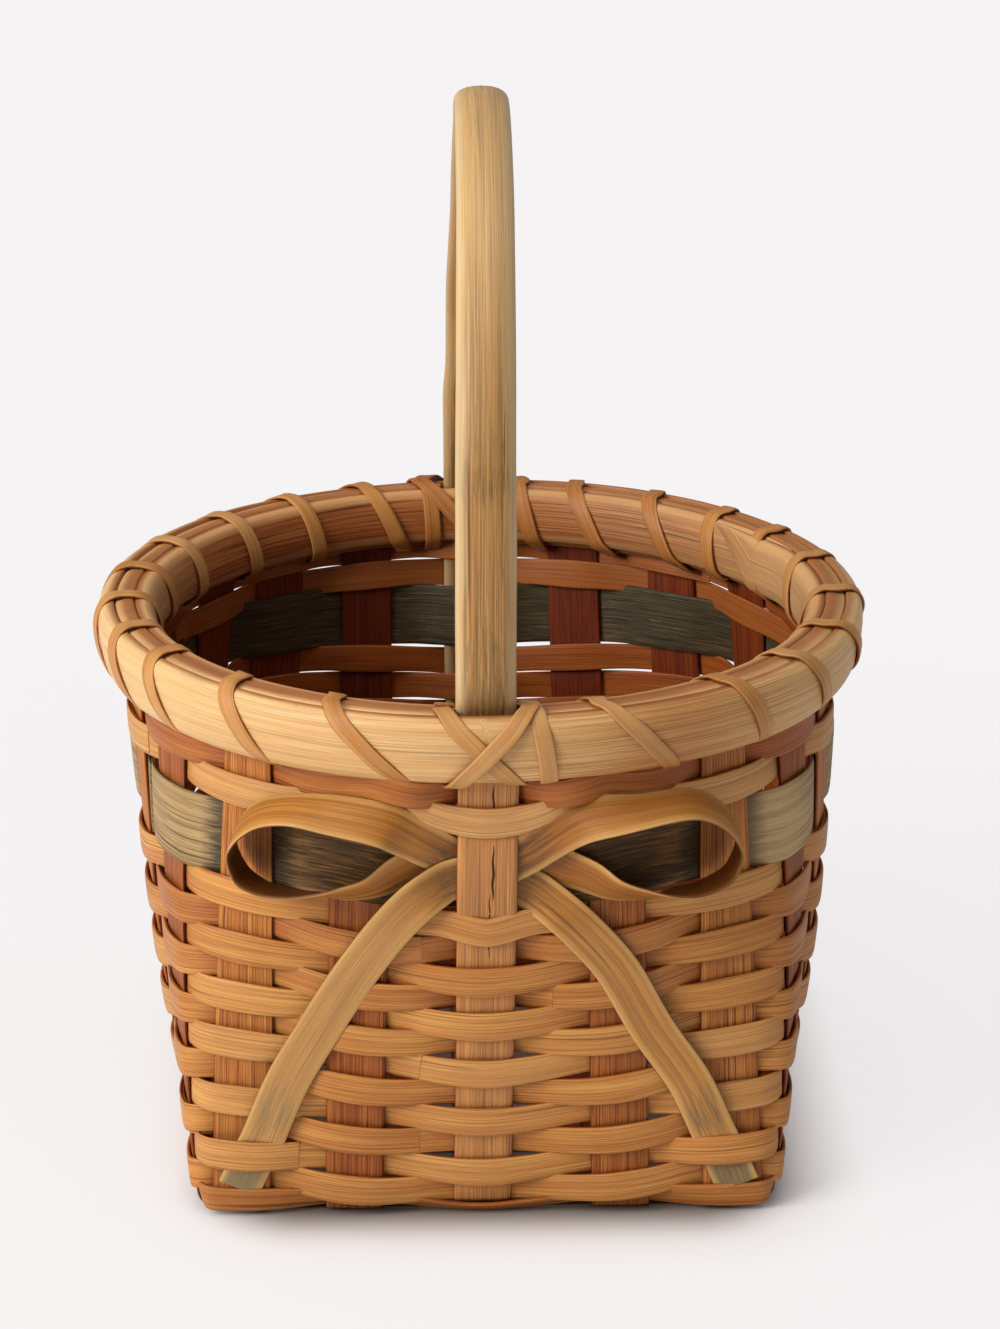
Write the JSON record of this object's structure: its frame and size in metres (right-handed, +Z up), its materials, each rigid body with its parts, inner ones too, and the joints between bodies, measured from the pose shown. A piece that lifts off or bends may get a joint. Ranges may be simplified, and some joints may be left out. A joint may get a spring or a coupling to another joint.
{
  "type": "woven basket",
  "caption": "Woven reed basket with a square base, round lashed rim, fixed hoop handle, dark accent row and a reed bow on the front.",
  "frame": {"origin": "centre of the footprint, on the surface that the basket stands on", "axes": "+Z up; the front, with the bow, faces -Y; the handle runs front to back in the YZ plane"},
  "size_m": [0.2264, 0.2278, 0.3047],
  "materials": {
    "stake_reed": "split flat reed, matt, reddish brown streaks",
    "weaver_reed": "flat reed, satin, honey tan",
    "accent_reed": "wide flat reed, dyed dark green black, faded outside",
    "rim_reed": "half-round reed, satin",
    "lashing_reed": "narrow flat reed, satin",
    "handle_wood": "bent hardwood, sanded and oiled",
    "bow_reed": "half-inch flat reed with dyed ends"
  },
  "bodies": {
    "root": {"stake_front_back_1": "stake_reed", "stake_front_back_2": "stake_reed", "stake_front_back_3": "stake_reed", "stake_front_back_4": "stake_reed", "stake_front_back_5": "stake_reed", "stake_left_right_1": "stake_reed", "stake_left_right_2": "stake_reed", "stake_left_right_3": "stake_reed", "stake_left_right_4": "stake_reed", "stake_left_right_5": "stake_reed", "weaver_01": "weaver_reed", "weaver_02": "weaver_reed", "weaver_03": "weaver_reed", "weaver_04": "weaver_reed", "weaver_05": "weaver_reed", "weaver_06": "weaver_reed", "weaver_07": "weaver_reed", "weaver_08": "weaver_reed", "weaver_09": "weaver_reed", "weaver_10": "weaver_reed", "weaver_11": "weaver_reed", "weaver_12": "weaver_reed", "weaver_13": "weaver_reed", "weaver_14": "weaver_reed", "weaver_15": "weaver_reed", "accent_weaver": "accent_reed", "outer_rim": "rim_reed", "inner_rim": "rim_reed", "rim_filler_right": "rim_reed", "rim_filler_left": "rim_reed", "rim_lashing": "lashing_reed", "handle": "handle_wood", "bow_strip_outer": "bow_reed", "bow_strip_inner": "bow_reed"}
  },
  "joints": []
}
